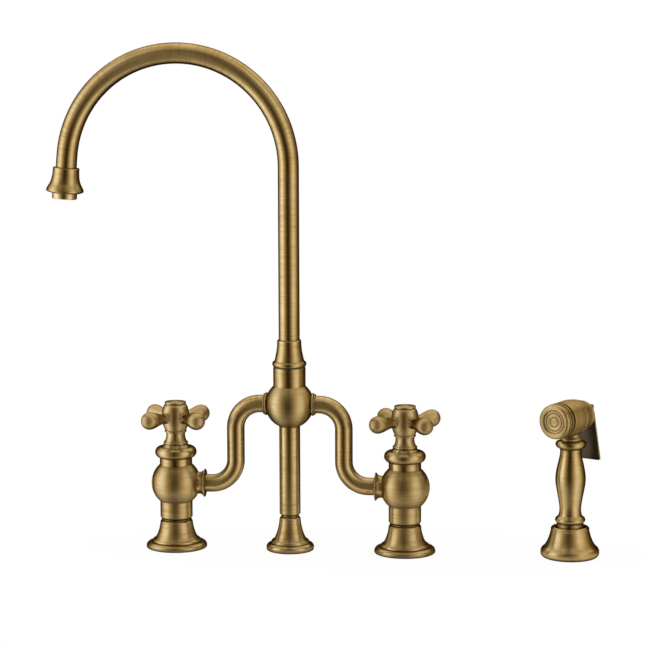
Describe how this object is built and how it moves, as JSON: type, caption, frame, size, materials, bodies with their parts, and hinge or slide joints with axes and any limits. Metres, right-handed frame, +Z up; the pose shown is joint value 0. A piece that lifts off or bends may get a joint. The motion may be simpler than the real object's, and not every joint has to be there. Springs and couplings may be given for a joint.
{
  "type": "bridge kitchen faucet with side spray",
  "caption": "Bridge kitchen faucet: tall swivelling gooseneck spout on a ball joint body, arched arms to cross-handle valves on turned feet, and a lever side spray in a deck holder.",
  "frame": {"origin": "centre of the centre foot's underside, on the deck plane", "axes": "+X along the bridge to the cold valve and the spray, +Y away from the user, +Z up from the deck"},
  "size_m": [0.4857, 0.0632, 0.4457],
  "materials": {
    "antique_brass": "brushed antique brass, satin",
    "machined_brass": "plain machined brass",
    "dark_brass": "dark patinated brass",
    "black_rubber": "matt black rubber",
    "ceramic": "ground ceramic",
    "liner_plastic": "dark liner plastic",
    "spring_steel": "spring steel"
  },
  "bodies": {
    "body": {"bridge_arm_left": "antique_brass", "bridge_arm_right": "antique_brass", "bonnet_cones": "antique_brass", "bonnet_rings": "antique_brass", "cartridge_bodies": "machined_brass", "cartridge_seals": "black_rubber", "centre_body": "antique_brass", "centre_foot": "antique_brass", "centre_foot_gasket": "black_rubber", "centre_foot_nipple": "dark_brass", "centre_port_rings": "antique_brass", "centre_post": "antique_brass", "hot_valve_body": "antique_brass", "cold_valve_body": "antique_brass", "diverter_cage": "machined_brass", "diverter_spring": "spring_steel", "fixed_discs": "ceramic", "glide_ring": "liner_plastic", "spray_holder": "antique_brass", "holder_gasket": "black_rubber", "spout_grub_screw": "spring_steel", "valve_feet": "antique_brass", "valve_foot_gaskets": "black_rubber", "valve_foot_nipples": "dark_brass"},
    "spout": {"spout_tube": "antique_brass", "spout_bell": "antique_brass", "aerator_housing": "antique_brass", "aerator_screen": "spring_steel", "aerator_seal": "black_rubber", "spout_collar": "antique_brass", "spout_shank": "machined_brass", "shank_orings": "black_rubber"},
    "hot_handle": {"hot_turning_disc": "ceramic", "hot_spindle": "machined_brass", "hot_handle_hub": "antique_brass", "hot_handle_arms": "antique_brass", "hot_handle_screw": "spring_steel", "hot_handle_cap": "antique_brass"},
    "cold_handle": {"cold_turning_disc": "ceramic", "cold_spindle": "machined_brass", "cold_handle_hub": "antique_brass", "cold_handle_arms": "antique_brass", "cold_handle_screw": "spring_steel", "cold_handle_cap": "antique_brass"},
    "liner": {"holder_bush": "liner_plastic"},
    "handset": {"spray_handle": "antique_brass", "hose_connector": "machined_brass", "spray_head": "antique_brass", "spray_nose": "antique_brass", "nose_oring": "black_rubber", "spray_face": "antique_brass", "spray_back_cap": "antique_brass", "lever_pin": "spring_steel", "plunger_spring": "spring_steel"},
    "lever": {"spray_lever": "antique_brass"},
    "plunger": {"spray_plunger": "machined_brass", "valve_seal": "black_rubber"},
    "diverter": {"diverter_piston": "machined_brass"}
  },
  "joints": [
    {"name": "spout_swivel", "type": "hinge", "parent": "body", "child": "spout", "pos_m": [0, 0, 0.1635], "axis": [0, 0, 1], "continuous": true},
    {"name": "hot_handle_turn", "type": "hinge", "parent": "body", "child": "hot_handle", "pos_m": [-0.1016, 0, 0.11675], "axis": [0, 0, 1], "range_deg": [0, 90]},
    {"name": "cold_handle_turn", "type": "hinge", "parent": "body", "child": "cold_handle", "pos_m": [0.1016, 0, 0.11675], "axis": [0, 0, 1], "range_deg": [-90, 0]},
    {"name": "spray_turn", "type": "hinge", "parent": "body", "child": "liner", "pos_m": [0.246, 0, 0.016], "axis": [0, 0, 1], "continuous": true},
    {"name": "spray_lift", "type": "slide", "parent": "liner", "child": "handset", "axis": [0, 0, 1], "range_m": [0, 0.15]},
    {"name": "lever_press", "type": "hinge", "parent": "handset", "child": "lever", "pos_m": [0.2588, 0.02217, 0.1293], "axis": [-0.866, 0.5, 0], "range_deg": [0, 13], "stiffness_Nm_per_rad": 0.2, "springref_deg": -20.05},
    {"name": "valve_stem", "type": "slide", "parent": "handset", "child": "plunger", "axis": [-0.5, -0.866, 0], "range_m": [0, 0.0017], "deforming": ["plunger_spring"]},
    {"name": "diverter_slide", "type": "slide", "parent": "body", "child": "diverter", "axis": [0, 0, 1], "range_m": [0, 0.002], "stiffness_N_per_m": 150, "springref_m": -0.004, "deforming": ["diverter_spring"]}
  ],
  "couplings": [
    {"joint": "valve_stem", "follows": "lever_press", "m_per_rad": 0.0065}
  ]
}
